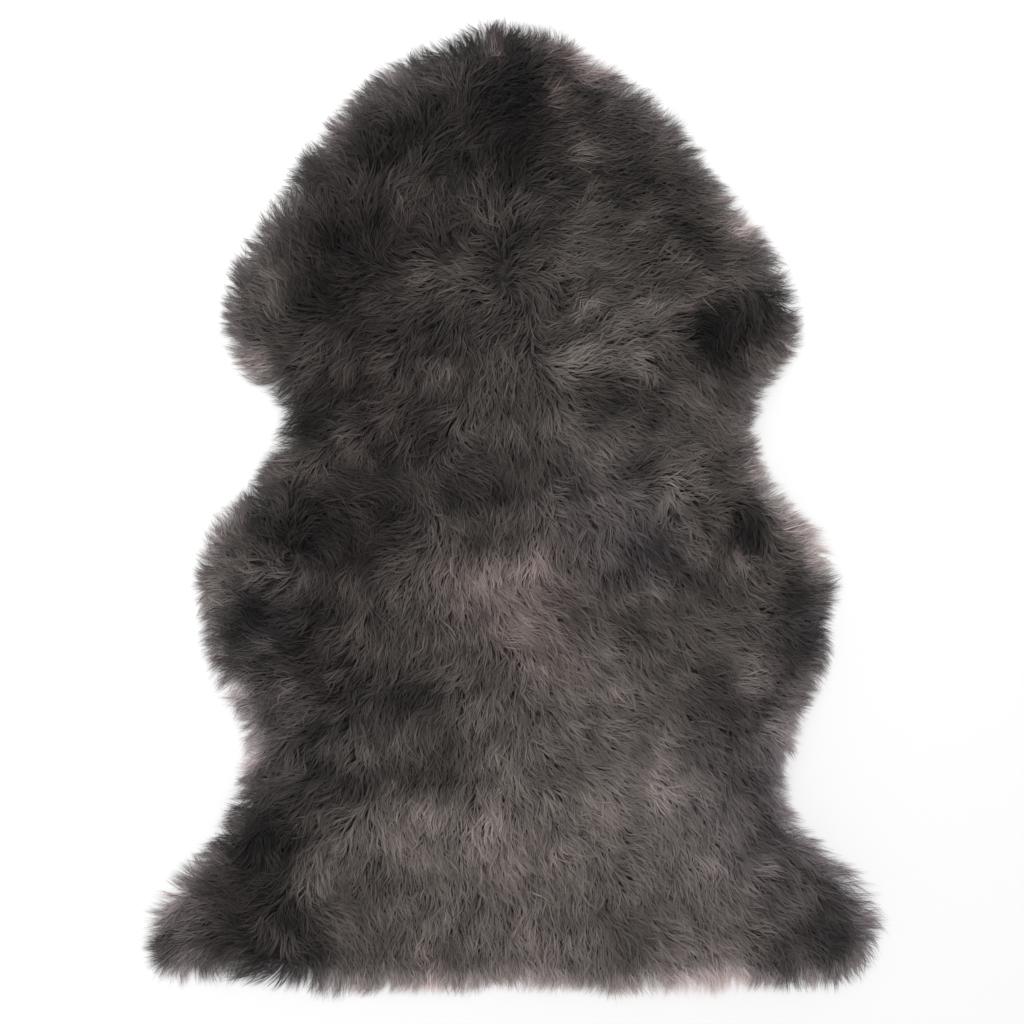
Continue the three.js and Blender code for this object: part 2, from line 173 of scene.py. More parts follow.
# Darker and lighter wool, partly the wool's own tone and partly painted shade where the pile is parted
# or sunk and painted light where it stands up: across, up, reach, shade in stops.
SHADES = (
    # broad: dark shoulders and left waist, pale loin and rump
    (-43, 313, 186, -0.95), (-180, 38, 118, -0.75), (25, -344, 196, 0.95), (6, -99, 83, 0.8),
    (123, -226, 98, 0.25), (90, 90, 110, 0.35),
    # neck end
    (8, 376, 50, -1.3), (30, 386, 20, 0.8), (30, 350, 20, 0.3), (4, 404, 26, -2.3), (6, 462, 26, -0.4),
    (-62, 440, 26, -0.8), (6, 445, 14, -2), (-19, 445, 7, 2.4), (-45, 448, 14, -1), (-80, 392, 20, 0.3),
    (54, 432, 30, 0.7), (-53, 414, 16, 1.1), (-6, 418, 18, -1.3), (-50, 445, 18, -0.6),
    (-124, 394, 18, 1), (-87, 362, 49, -0.7), (-112, 360, 34, -1.1), (-52, 372, 22, 0.5),
    (-22, 326, 30, -1), (-180, 332, 34, -0.8), (-145, 375, 20, -0.5), (78, 408, 24, -1.4),
    (-268, 350, 40, -0.2), (96, 316, 34, -1.2), (80, 362, 34, 0.3),
    # shoulders
    (-146, 308, 22, 0.4), (-33, 294, 28, 1.1), (-44, 318, 16, -0.8), (-95, 256, 24, -1.4),
    (-110, 196, 22, -0.5), (-185, 280, 20, 0.6), (-165, 245, 46, -1.8), (120, 345, 45, 0.4),
    (123, 290, 18, 0.6), (198, 278, 20, 1.1), (138, 300, 20, -0.5), (99, 295, 60, 0.2),
    (148, 282, 20, -0.7), (50, 278, 22, 0.6), (104, 278, 20, 0.5), (124, 236, 18, 0.5),
    (99, 254, 26, -0.5), (166, 266, 30, -0.7), (60, 245, 44, 1), (22, 232, 32, 0.7),
    (-90, 227, 42, 1.3), (-70, 235, 20, 0.3), (75, 212, 18, -0.6), (58, 170, 16, -0.8), (56, 182, 7, 1),
    (-185, 215, 39, -0.3), (232, 222, 22, 0.4), (210, 250, 18, -0.4), (182, 214, 22, 1),
    (136, 264, 18, -0.4), (100, 202, 45, 0.5), (135, 186, 22, 0.9), (45, 200, 20, -0.7),
    (1, 180, 20, 0.8), (66, 192, 7, 1.2), (78, 203, 7, 0.8), (162, 197, 12, 0.8), (168, 166, 20, -0.7),
    (114, 140, 26, 1.1), (60, 156, 20, 0.6), (184, 130, 24, 0.8), (-43, 185, 44, -0.2),
    (-40, 226, 24, 0.6), (-42, 152, 20, 0.5), (-60, 190, 28, -0.5), (-200, 205, 22, 0.5),
    (-141, 180, 39, -0.3), (-186, 162, 20, 0.7), (-239, 161, 20, 0.4), (195, 172, 34, -3.4),
    (248, 200, 22, -2.4), (85, 160, 40, 0.7), (-90, 140, 40, 0.4), (-60, 80, 24, 0.4),
    (-30, 104, 20, 0.4), (-53, 48, 18, -0.6), (-14, 146, 16, -0.6), (55, 145, 24, 0.7),
    (205, 215, 18, 0.6), (230, 156, 14, 0.5), (215, 106, 26, -0.5),
    # waist
    (-166, 112, 49, -0.5), (-200, 92, 24, -1.1), (-102, 92, 20, -0.6), (-150, 70, 30, 0.6),
    (-160, 40, 22, -0.3), (-85, 70, 26, 0.5), (-107, 78, 37, -0.7), (-43, 97, 20, 0.4),
    (100, 108, 34, -1.3), (48, 82, 36, 0.95), (93, 75, 18, 0.5), (88, 50, 24, 0.8),
    (-230, 30, 26, -0.5), (-30, 75, 30, -0.3), (-143, 60, 22, 1.2), (-110, 122, 20, 0.6),
    (-195, 32, 28, 1.5), (-100, 24, 52, -1), (-160, 24, 20, -0.5), (16, 28, 44, -0.6),
    (30, 26, 16, -0.2), (50, 28, 16, -0.9), (24, -28, 18, 0.6), (-120, -22, 18, 0.7), (33, 0, 16, 0.5),
    (80, 16, 16, 0.9), (112, 38, 20, -1), (155, 18, 32, 0.9), (-28, 4, 16, 0.6), (-12, -30, 18, -0.7),
    (-38, -11, 39, -0.4), (-184, -28, 46, -1.9), (-182, -4, 20, 0.5), (-141, -25, 18, -0.6),
    (-236, -25, 22, -0.7), (-280, -60, 20, -0.4), (-278, -18, 22, 0.3), (128, -36, 24, -0.9),
    (160, -15, 16, 0.2), (134, -26, 16, -0.4), (223, -18, 21, -2.5), (250, -2, 15, 0.7),
    (221, -55, 9, 1), (205, -58, 16, 0.5), (250, -22, 14, -0.4), (285, -48, 25, 0.6),
    # loin and flanks
    (-190, -50, 39, -0.2), (-222, -62, 20, 1.2), (-256, -2, 15, -0.3), (-239, -76, 18, 0.8),
    (-172, -68, 18, 2.3), (-60, -60, 38, 1), (-18, -58, 18, 0.8), (-151, -114, 18, -0.5),
    (20, -54, 24, 1.2), (90, -36, 24, 1.1), (20, -98, 14, 0.6), (-190, -36, 16, -0.6),
    (138, -76, 20, 0.7), (221, -68, 20, -1.7), (262, -64, 14, -0.7), (192, -144, 18, -0.5),
    (52, -38, 18, -0.5), (275, -80, 22, -0.6), (-26, -94, 20, -0.4), (-126, -74, 26, -0.7),
    (55, -102, 18, -1.2), (104, -89, 59, -0.5), (280, -109, 38, -0.6), (-212, -125, 45, -1.85),
    (-262, -112, 32, -1.4), (-43, -138, 30, -0.5), (-10, -112, 20, 0.4), (172, -114, 22, 0.5),
    (-58, -153, 18, 0.6), (175, -75, 18, -0.4), (240, -110, 24, 0.5), (-138, -127, 26, 0.8),
    (60, -128, 24, 0.7), (64, -154, 22, -0.4), (-190, -177, 44, -0.7), (-212, -175, 22, -0.5),
    (-260, -150, 26, -0.7), (-205, -208, 22, 0.6), (-126, -177, 54, -0.85), (-82, -177, 31, -0.8),
    (1, -187, 22, -0.35), (160, -190, 30, -0.2), (222, -140, 22, 0.4), (190, -165, 24, -0.9),
    (222, -166, 22, 1.5), (240, -190, 16, -0.8), (-224, -222, 24, 0.8), (-156, -226, 18, 0.6),
    (-180, -177, 20, 0.3), (250, -60, 18, 0.5), (109, -221, 16, -0.9), (-106, -209, 26, 1.1),
    (32, -205, 17, 0.7), (90, -180, 22, 0.5), (-85, -178, 18, -0.7), (110, -168, 26, 0.4),
    (197, -216, 34, -0.7), (240, -225, 25, 0.3), (253, -213, 20, 1.1),
    # rump and hind legs
    (-196, -243, 30, -1.6), (-92, -240, 40, -0.6), (-60, -266, 28, -0.8), (-131, -266, 26, -1),
    (10, -170, 18, -0.5), (70, -222, 28, -0.6), (135, -262, 44, 0.8), (-250, -320, 34, -3.1),
    (-268, -308, 18, 1.5), (-292, -340, 16, -1.2), (124, -315, 22, -0.7), (240, -290, 24, -0.4),
    (-165, -314, 16, 0.7), (-185, -280, 22, -0.6), (-83, -285, 20, 0.8), (-33, -280, 22, 0.5),
    (25, -252, 24, -0.6), (-110, -285, 20, 0.5), (-120, -302, 32, 0.9), (-30, -300, 44, 0.5),
    (256, -340, 26, -0.6), (246, -395, 16, -0.3), (268, -400, 16, 0.5), (-290, -346, 18, 1.4),
    (196, -312, 30, 0.6), (45, -340, 22, 0.5), (30, -285, 34, 0.3), (133, -330, 24, 0.6),
    (-258, -388, 42, -2.05), (-195, -352, 24, 0.6), (-190, -416, 20, -0.8), (-118, -372, 26, -0.4),
    (-208, -308, 18, -0.7), (-136, -312, 20, 0.5), (-190, -370, 26, 0.5), (-150, -352, 20, 0.4),
    (84, -295, 24, 0.7), (45, -390, 28, -0.9), (0, -370, 18, -0.5), (114, -378, 20, 0.7),
    (195, -360, 46, 0.75), (-146, -403, 34, -0.3), (96, -398, 34, -0.4), (308, -405, 34, -0.9),
    (272, -388, 18, 0.3), (-302, -418, 20, 0.7), (-335, -418, 24, -1), (-212, -408, 26, -1.5),
    (-245, -450, 30, -1), (-205, -440, 20, -0.8), (40, -410, 40, 0.5), (180, -395, 24, -0.4),
    (-174, -415, 18, 1.2), (280, -383, 22, 0.4), (225, -428, 20, 0.8), (106, -402, 22, -0.5),
    (-110, -445, 40, 0.4), (-30, -450, 34, -0.5), (175, -437, 44, 0.95),
)

# Tinted wool: across, up, reach, share of rose, share of cool.
TINTS = (
    (5, -90, 80, 0.7, 0), (-38, -368, 110, 0.15, 0), (55, 455, 25, 0.7, 0), (0, 390, 58, 1, 0),
    (-150, 260, 70, 0.8, 0), (-130, 110, 70, 0.7, 0), (-158, -20, 54, 1, 0), (-185, -140, 40, 0.9, 0),
    (204, 178, 40, 0.9, 0.1), (217, -30, 28, 0.4, 0), (-160, 362, 50, 0.3, 0), (-240, -225, 70, 0, 0.4),
    (-255, -380, 50, 0.4, 0), (270, -290, 120, 0, 0.75), (-238, -112, 34, 0, 1), (80, 0, 60, 0, 0.45),
    (124, -35, 38, 0, 0.9), (281, -109, 34, 0, 0.6), (310, -412, 40, 0, 0.5), (-310, -425, 36, 0, 0.5),
)

# Places where tufts are tousled: across, up, reach, how much.
TOUSLED = (
    (-9, 435, 35, 0.9), (-82, 400, 40, 0.5), (72, 187, 25, 0.7), (150, 195, 20, 0.3),
    (-280, -50, 40, 0.8), (-240, -75, 30, 0.2), (-195, -30, 45, 0.3), (226, -50, 30, 0.5),
    (-152, 61, 32, 0.8), (-151, 303, 50, 0.5), (-31, 285, 32, 0.6), (222, 180, 22, 0.3),
    (-240, -395, 60, 0.4), (-60, 330, 60, 0.3),
)

# Where the rim's wool reaches further out than elsewhere: across, up, reach, how far.
OUTREACH = (
    (-345, -450, 35, 7), (-341, -382, 22, 10), (-180, -470, 45, 9), (-265, -462, 50, 3),
    (-330, -458, 20, 5), (0, -468, 45, 5), (29, -468, 20, 3), (-8, -464, 16, -3), (190, -466, 45, 9),
    (188, -466, 26, 5), (130, -470, 30, 2.5), (-60, -471, 25, 3), (340, -440, 35, 5.5),
    (300, -466, 45, 4), (343, -378, 24, 7), (-310, -50, 40, 2), (-284, -178, 30, 6), (-253, 36, 14, -3),
    (-274, -294, 18, 3), (-298, -328, 18, -6), (199, 320, 26, -5), (-226, 310, 50, 2.5),
    (-270, 235, 40, 2), (-289, -9, 16, 6), (295, -31, 18, 7), (309, -60, 30, 5), (300, -34, 16, 2),
    (-45, 470, 26, 6), (28, 468, 20, 9), (148, 389, 25, 4), (68, 445, 26, 2.5), (262, 232, 30, 5),
    (258, 18, 14, 2), (174, 357, 25, 1.5),
)


# -------- settings


def colour_property(name, description, default, most=1):
    return bpy.props.FloatVectorProperty(
        name=name, description=description, default=default, subtype="COLOR", size=3, min=0, max=most
    )


def length_property(name, description, default):
    return bpy.props.FloatProperty(
        name=name, description=description, default=default, min=0, unit="LENGTH"
    )


class SkinSettings(bpy.types.PropertyGroup):
    """Sizes and colours of the tanned skin under the wool."""

    thickness: length_property("Thickness", "Thickness of the tanned skin", 2.2 * MM)
    edge_bevel: length_property("Edge bevel", "Softening of the cut edge", 0.5 * MM)
    suede: colour_property("Suede", "Colour of the flesh side", (0.56, 0.47, 0.37))
    stain: colour_property("Stain", "Darker clouds in the suede", (0.42, 0.34, 0.26))


class WoolSettings(bpy.types.PropertyGroup):
    """Sizes and colours of the wool."""

    strands: bpy.props.IntProperty(
        name="Strands", description="Wisps of wool over the whole pelt", default=180000, min=100
    )
    length: length_property("Length", "Length of a wisp that shows", 26 * MM)
    width: length_property("Width", "Width of a wisp at its middle", 0.7 * MM)
    tuft_pitch: length_property("Tuft pitch", "From one tuft to the next", 14 * MM)
    lock_pitch: length_property("Lock pitch", "From one fine lock to the next", 3.0 * MM)
    lock_draw: bpy.props.FloatProperty(
        name="Lock draw", description="How far a lock's wisps come together", default=0.55, min=0, max=1
    )
    tuft_draw: bpy.props.FloatProperty(
        name="Tuft draw", description="How far a tuft's locks come together", default=0.35, min=0, max=1
    )
    voxel: length_property("Underwool grain", "Face size of the underwool", 5.5 * MM)
    sink: length_property("Underwool depth", "Underwool below the tips of the wool", 5 * MM)
    # The dark root colour is painted shade deep in the pile, and the paler tip colour is partly a
    # painted highlight.
    root: colour_property("Root", "Colour deep in the pile", (0.025, 0.0210, 0.0207))
    middle: colour_property("Middle", "Colour half way up a wisp", (0.0725, 0.0617, 0.0569))
    tip: colour_property("Tip", "Colour of the tips", (0.0905, 0.0766, 0.0690))
    rose: colour_property("Rose", "Tint of the paler back", (1.1, 0.98, 1.0), most=2)
    cool: colour_property("Cool", "Tint of the legs and hollows", (0.97, 0.96, 1.1), most=2)


class StageSettings(bpy.types.PropertyGroup):
    """Floor, light and camera."""

    frame_width: length_property("Frame width", "Width of the floor in view", 1.005)
    lens: bpy.props.FloatProperty(
        name="Lens", description="Focal length in millimetres", default=90, min=20
    )
    floor: colour_property("Floor", "Colour of the floor", (0.93, 0.93, 0.93))
    key_power: bpy.props.FloatProperty(
        name="Key light", description="Power of the large soft light", default=62, unit="POWER"
    )
    sky: bpy.props.FloatProperty(name="Sky", description="Strength of the even light", default=0.75)


# -------- fields over the pelt


class Fields:
    """Maps over the plan of the pelt, read off its solid, on a grid of square cells."""

    CELL = 3 * MM
    MARGIN = 21 * MM
    LOCK_GAP = 9 * MM  # gaps between rim locks that count as inside the wool
    SOFTENING = 5 * MM  # of the solid's facets
    LEAST_COVER = 0.02
    OUTLINE_SOFTENING = 6 * MM
    PARTING_WIDTH = 30 * MM  # a turn through a radian over this width counts as a full parting

    def __init__(self):
        cell = self.CELL
        self.x0 = CAD_LOW[0] - self.MARGIN
        self.y0 = CAD_LOW[1] - self.MARGIN
        self.nx = int((CAD_HIGH[0] + self.MARGIN - self.x0) / cell) + 1
        self.ny = int((CAD_HIGH[1] + self.MARGIN - self.y0) / cell) + 1
        self.xs = self.x0 + cell * np.arange(self.nx)
        self.ys = self.y0 + cell * np.arange(self.ny)
        self.gx, self.gy = np.meshgrid(self.xs, self.ys)
        self.rng = np.random.default_rng(SEED)
        top, hit = self.cast_down()
        self.inset = self.signed_inset(hit)
        covered = self.blur(hit.astype(float), self.SOFTENING)
        height = self.blur(top, self.SOFTENING) / np.maximum(covered, self.LEAST_COVER)
        self.height = self.blur(np.where(self.inset > 0, height, 0), self.SOFTENING / 2)
        self.slope_y, self.slope_x = np.gradient(self.height, cell)
        self.lay_x, self.lay_y = self.lay()
        away = np.gradient(self.lay_x, cell, axis=1) + np.gradient(self.lay_y, cell, axis=0)
        away = self.blur(np.maximum(away, 0), self.SOFTENING)
        self.parting = np.clip(away * self.PARTING_WIDTH, 0, 1)
        # The shade field: the wool's own tone together with painted shade and painted light.
        self.shade = self.patches(SHADES, 3)
        self.rose = np.clip(self.patches(TINTS, 3), 0, 1)
        self.cool = np.clip(self.patches(TINTS, 4), 0, 1)
        self.tousle = np.clip(self.patches(TOUSLED, 3), 0, 1)
        self.outreach = self.patches(OUTREACH, 3) * MM
        self.mottle = self.noise(9 * MM)
        self.drift = self.noise(24 * MM)
        self.cloud = self.noise(45 * MM)
        self.ripple = self.noise(14 * MM)

    def cast_down(self):
        """Height of the solid's top at each cell, and where there is any solid."""
        mesh = PELT.data
        tree = BVHTree.FromPolygons([v.co for v in mesh.vertices], [p.vertices for p in mesh.polygons])
        top = np.zeros(self.gx.shape)
        hit = np.zeros(self.gx.shape, bool)
        down = Vector((0, 0, -1))
        for j, y in enumerate(self.ys):
            for i, x in enumerate(self.xs):
                place = tree.ray_cast(Vector((x, y, 1)), down)[0]
                if place is not None:
                    top[j, i] = place.z
                    hit[j, i] = True
        return top, hit

    def distance_to(self, cells):
        """Distance from each cell to the nearest of the marked cells."""
        edge = cells & ~(
            np.roll(cells, 1, 0) & np.roll(cells, -1, 0) & np.roll(cells, 1, 1) & np.roll(cells, -1, 1)
        )
        tree = KDTree(int(edge.sum()))
        for n, (x, y) in enumerate(zip(self.gx[edge], self.gy[edge])):
            tree.insert((x, y, 0), n)
        tree.balance()
        found = [tree.find((x, y, 0))[2] for x, y in zip(self.gx.ravel(), self.gy.ravel())]
        distance = np.array(found).reshape(self.gx.shape)
        distance[cells] = 0
        return distance

    def signed_inset(self, hit):
        """How far in from the wool's outline each cell is, negative outside it."""
        bridged = self.distance_to(hit) < self.LOCK_GAP
        inside = self.distance_to(~bridged) > self.LOCK_GAP
        inside |= hit
        inset = self.distance_to(~inside) - self.distance_to(inside)
        return self.blur(inset, self.OUTLINE_SOFTENING)

    def blur(self, field, reach):
        """Gaussian blur."""
        taps = int(3 * reach / self.CELL) + 1
        weights = np.exp(-0.5 * (np.arange(-taps, taps + 1) * self.CELL / reach) ** 2)
        weights /= weights.sum()
        for axis in (0, 1):
            padding = [(taps, taps) if a == axis else (0, 0) for a in (0, 1)]
            padded = np.pad(field, padding, mode="edge")
            size = field.shape[axis]
            field = sum(
                w * np.take(padded, range(k, k + size), axis=axis) for k, w in enumerate(weights)
            )
        return field

    def noise(self, reach):
        """Soft noise of this grain, even round 0 with a spread of 1."""
        field = self.blur(self.rng.standard_normal(self.gx.shape), reach)
        return field / field.std()

    def patches(self, table, column):
        """The sum of a table's soft round patches."""
        total = np.zeros(self.gx.shape)
        for row in table:
            across, up, reach = (v * MM for v in row[:3])
            far = ((self.gx - across) ** 2 + (self.gy - up) ** 2) / reach**2
            total += row[column] * np.exp(-far)
        return total

    def lay(self):
        """Unit vectors of the way the wool lies, turning outwards at the rim."""
        REACH = 22 * MM
        FAR_SHARE = 0.02  # keeps a heading where no entry is near
        RIM = 24 * MM
        RIM_PULL = 0.55
        NOT_ZERO = 1e-9
        lay_x = np.zeros(self.gx.shape)
        lay_y = np.zeros(self.gx.shape)
        for across, up, heading in LAY:
            far = ((self.gx - across * MM) ** 2 + (self.gy - up * MM) ** 2) / REACH**2
            weight = np.exp(-far) + FAR_SHARE / (1 + far) ** 2
            lay_x += weight * math.cos(math.radians(heading))
            lay_y += weight * math.sin(math.radians(heading))
        size = np.hypot(lay_x, lay_y) + NOT_ZERO
        out_y, out_x = np.gradient(-self.inset, self.CELL)
        steep = np.hypot(out_x, out_y) + NOT_ZERO
        pull = RIM_PULL * np.clip(1 - self.inset / RIM, 0, 1)
        lay_x = (1 - pull) * lay_x / size + pull * out_x / steep
        lay_y = (1 - pull) * lay_y / size + pull * out_y / steep
        size = np.hypot(lay_x, lay_y) + NOT_ZERO
        return lay_x / size, lay_y / size

    def at(self, field, x, y):
        """A field at any places, read between the cells."""
        INSIDE = 1.001  # keeps a place on the far edge within the last cell
        fx = np.clip((x - self.x0) / self.CELL, 0, self.nx - INSIDE)
        fy = np.clip((y - self.y0) / self.CELL, 0, self.ny - INSIDE)
        i, j = fx.astype(int), fy.astype(int)
        u, v = fx - i, fy - j
        low = field[j, i] * (1 - u) + field[j, i + 1] * u
        high = field[j + 1, i] * (1 - u) + field[j + 1, i + 1] * u
        return low * (1 - v) + high * v


FIELDS = []


def fields():
    """The pelt's fields, worked out once."""
    if not FIELDS:
        FIELDS.append(Fields())
    return FIELDS[0]


# -------- materials


def new_material(name):
    """An empty node material, with its shader and a helper that adds nodes."""
    material = bpy.data.materials.new(name)
    material.use_nodes = True
    tree = material.node_tree
    shader = tree.nodes["Principled BSDF"]

    def add(kind, **settings):
        node = tree.nodes.new("ShaderNode" + kind)
        for key, value in settings.items():
            socket = node.inputs.get(key.title())
            if socket is None:
                setattr(node, key, value)
            else:
                socket.default_value = value
        return node

    return material, tree, shader, add


def mix_colours(tree, add, blend_type, factor, first, second):
    """A colour mix. Each of the last three is a socket or a constant."""
    node = add("Mix", data_type="RGBA", blend_type=blend_type)
    for socket, value in ((node.inputs[0], factor), (node.inputs[6], first), (node.inputs[7], second)):
        if isinstance(value, bpy.types.NodeSocket):
            tree.links.new(value, socket)
        else:
            socket.default_value = value
    return node.outputs[2]


def rgba(colour, gain=1.0):
    return (*(gain * c for c in colour), 1.0)


def colour_ramp(tree, add, source, first, last, *between):
    """Colours over a source socket. Each stop is a position and a colour."""
    ramp = add("ValToRGB")
    stops = ramp.color_ramp.elements
    for stop, (position, colour) in zip(stops, (first, last)):
        stop.position = position
        stop.color = colour
    for position, colour in between:
        stops.new(position).color = colour
    tree.links.new(source, ramp.inputs["Fac"])
    return ramp.outputs["Color"]


def add_bump(tree, add, shader, height, strength, distance):
    bump = add("Bump", strength=strength, distance=distance)
    tree.links.new(height, bump.inputs["Height"])
    tree.links.new(bump.outputs["Normal"], shader.inputs["Normal"])


def finish(shader, **values):
    """Sets the shader's own sockets: roughness, specular_ior_level, sheen_weight and the like."""
    for key, value in values.items():
        shader.inputs[key.replace("_", " ").title().replace("Ior", "IOR")].default_value = value


def wool_material():
    """Combed wool: dark at its roots, painted shade deep in the pile, paler at its tips, partly a
    painted highlight, and toned and tinted by place, with painted shade and light in its tone.
    """
    wool = bpy.context.scene.sheepskin_wool
    material, tree, shader, add = new_material("combed_wool")
    along = add("Attribute", attribute_name="along")
    # Painted shade at the roots, deep in the pile, and a partly painted highlight at the tips.
    root, middle, tip = (0.05, rgba(wool.root)), (0.5, rgba(wool.middle)), (1.0, rgba(wool.tip))
    strand = colour_ramp(tree, add, along.outputs["Fac"], root, tip, middle)
    # The tone attribute carries the wool's own tone together with painted shade and light: the shade
    # table, the lighter higher wisps and the rim's painted light.
    tone = add("Attribute", attribute_name="tone")
    toned = mix_colours(tree, add, "MULTIPLY", 1.0, strand, tone.outputs["Color"])
    rose = add("Attribute", attribute_name="rose")
    cool = add("Attribute", attribute_name="cool")
    warmed = mix_colours(tree, add, "MULTIPLY", rose.outputs["Fac"], toned, rgba(wool.rose))
    cooled = mix_colours(tree, add, "MULTIPLY", cool.outputs["Fac"], warmed, rgba(wool.cool))
    tree.links.new(cooled, shader.inputs["Base Color"])
    finish(shader, roughness=0.62, specular_ior_level=0.2, sheen_weight=0.06, sheen_roughness=0.5)
    return material


def underwool_material():
    """Dense short wool under the combed wool: matt and crimped, and dark, partly painted shade deep in
    the pile.
    """
    wool = bpy.context.scene.sheepskin_wool
    material, tree, shader, add = new_material("underwool")
    place = add("TexCoord")
    crimp = add("TexNoise", scale=260.0, detail=6.0, roughness=0.6)
    tree.links.new(place.outputs["Object"], crimp.inputs["Vector"])
    # Painted shade: the underwool takes the dark root colour and a darkened middle, for the shade deep
    # in the pile.
    furrow, crest = (0.35, rgba(wool.root)), (0.7, rgba(wool.middle, gain=0.8))
    crimped = colour_ramp(tree, add, crimp.outputs["Fac"], furrow, crest)
    tree.links.new(crimped, shader.inputs["Base Color"])
    add_bump(tree, add, shader, crimp.outputs["Fac"], strength=0.8, distance=2 * MM)
    finish(shader, roughness=0.9, specular_ior_level=0.2)
    return material


def skin_material():
    """Suede flesh side: matt, clouded, with a fine nap and faint grain lines."""
    skin = bpy.context.scene.sheepskin_skin
    material, tree, shader, add = new_material("suede_skin")
    place = add("TexCoord")
    clouds = add("TexNoise", scale=9.0, detail=5.0, roughness=0.6)
    nap = add("TexNoise", scale=900.0, detail=3.0, roughness=0.7)
    veins = add("TexVoronoi", feature="DISTANCE_TO_EDGE", scale=26.0)
    for node in (clouds, nap, veins):
        tree.links.new(place.outputs["Object"], node.inputs["Vector"])
    base = mix_colours(tree, add, "MIX", clouds.outputs["Fac"], rgba(skin.stain), rgba(skin.suede))
    grained = mix_colours(tree, add, "OVERLAY", 0.35, base, nap.outputs["Color"])
    tree.links.new(grained, shader.inputs["Base Color"])
    vein_depth = 0.3
    height = add("Math", operation="MULTIPLY_ADD")
    tree.links.new(veins.outputs["Distance"], height.inputs[0])
    height.inputs[1].default_value = vein_depth
    tree.links.new(nap.outputs["Fac"], height.inputs[2])
    add_bump(tree, add, shader, height.outputs["Value"], strength=0.5, distance=0.4 * MM)
    finish(shader, roughness=0.92, specular_ior_level=0.2, sheen_weight=0.25)
    return material


# -------- pieces


def deselect_all():
    if bpy.context.object and bpy.context.object.mode != "OBJECT":
        bpy.ops.object.mode_set(mode="OBJECT")
    bpy.ops.object.select_all(action="DESELECT")


@contextmanager
def edit_mode():
    """Edit mode for what stands inside it, and object mode after that."""
    bpy.ops.object.mode_set(mode="EDIT")
    yield
    bpy.ops.object.mode_set(mode="OBJECT")


def copy_of_pelt(name):
    """A copy of the solid with its own merged mesh, selected and active."""
    deselect_all()
    piece = bpy.data.objects.new(name, PELT.data.copy())
    piece.data.materials.clear()
    for attribute in [a.name for a in piece.data.attributes if a.is_required is False]:
        piece.data.attributes.remove(piece.data.attributes[attribute])
    bpy.context.scene.collection.objects.link(piece)
    piece.select_set(True)
    bpy.context.view_layer.objects.active = piece
    with edit_mode():
        bpy.ops.mesh.select_all(action="SELECT")
        bpy.ops.mesh.remove_doubles(threshold=0.01 * MM)
        bpy.ops.mesh.customdata_custom_splitnormals_clear()
    return piece


def apply_modifier(piece, kind, name, **settings):
    modifier = piece.modifiers.new(name, kind)
    for key, value in settings.items():
        setattr(modifier, key, value)
    bpy.ops.object.modifier_apply(modifier=modifier.name)


def flat_underside(piece):
    """The faces of the skin's flat underside, without those under the tips of the rim locks."""
    FACING_DOWN = -0.999
    ON_FLOOR = 0.05 * MM
    mesh = piece.data
    faces = [p for p in mesh.polygons if p.normal.z < FACING_DOWN and p.center.z < ON_FLOOR]
    by_vertex = {}
    for face in faces:
        for v in face.vertices:
            by_vertex.setdefault(v, []).append(face.index)
    found = {face.index for face in faces}
    islands = []
    while found:
        island = set()
        waiting = [found.pop()]
        while waiting:
            index = waiting.pop()
            island.add(index)
            for v in mesh.polygons[index].vertices:
                for near in by_vertex[v]:
                    if near in found:
                        found.discard(near)
                        waiting.append(near)
        islands.append(island)
    return max(islands, key=lambda island: sum(mesh.polygons[i].area for i in island))


class RUG_OT_make_skin(bpy.types.Operator):
    """Cuts the tanned skin from the pelt's flat underside"""

    bl_idname = "rug.make_skin"
    bl_label = "Make skin"

    def execute(self, context):
        skin = context.scene.sheepskin_skin
        piece = copy_of_pelt("skin")
        kept = flat_underside(piece)
        with edit_mode():
            bpy.ops.mesh.select_mode(type="FACE")
            bpy.ops.mesh.select_all(action="DESELECT")
        for polygon in piece.data.polygons:
            polygon.select = polygon.index not in kept
        with edit_mode():
            bpy.ops.mesh.delete(type="FACE")
            bpy.ops.mesh.select_all(action="SELECT")
            bpy.ops.mesh.dissolve_faces()
            bpy.ops.mesh.normals_make_consistent(inside=False)
        face = piece.data.polygons[0]
        corners = np.array([piece.data.vertices[v].co[:2] for v in face.vertices])
        area = face.area
        width, length = corners.max(0) - corners.min(0)
        with edit_mode():
            bpy.ops.mesh.select_all(action="SELECT")
            bpy.ops.mesh.extrude_region_move(TRANSFORM_OT_translate={"value": (0, 0, skin.thickness)})
            bpy.ops.mesh.select_all(action="SELECT")
            bpy.ops.mesh.normals_make_consistent(inside=False)
        apply_modifier(
            piece, "BEVEL", "cut_edge", width=skin.edge_bevel, segments=2, limit_method="ANGLE",
            angle_limit=math.radians(60),
        )
        apply_modifier(piece, "TRIANGULATE", "triangles")
        piece.data.materials.append(skin_material())
        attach(piece, BODY)
        piece["skin_area"] = area
        piece["skin_size"] = (float(width), float(length))
        return {"FINISHED"}


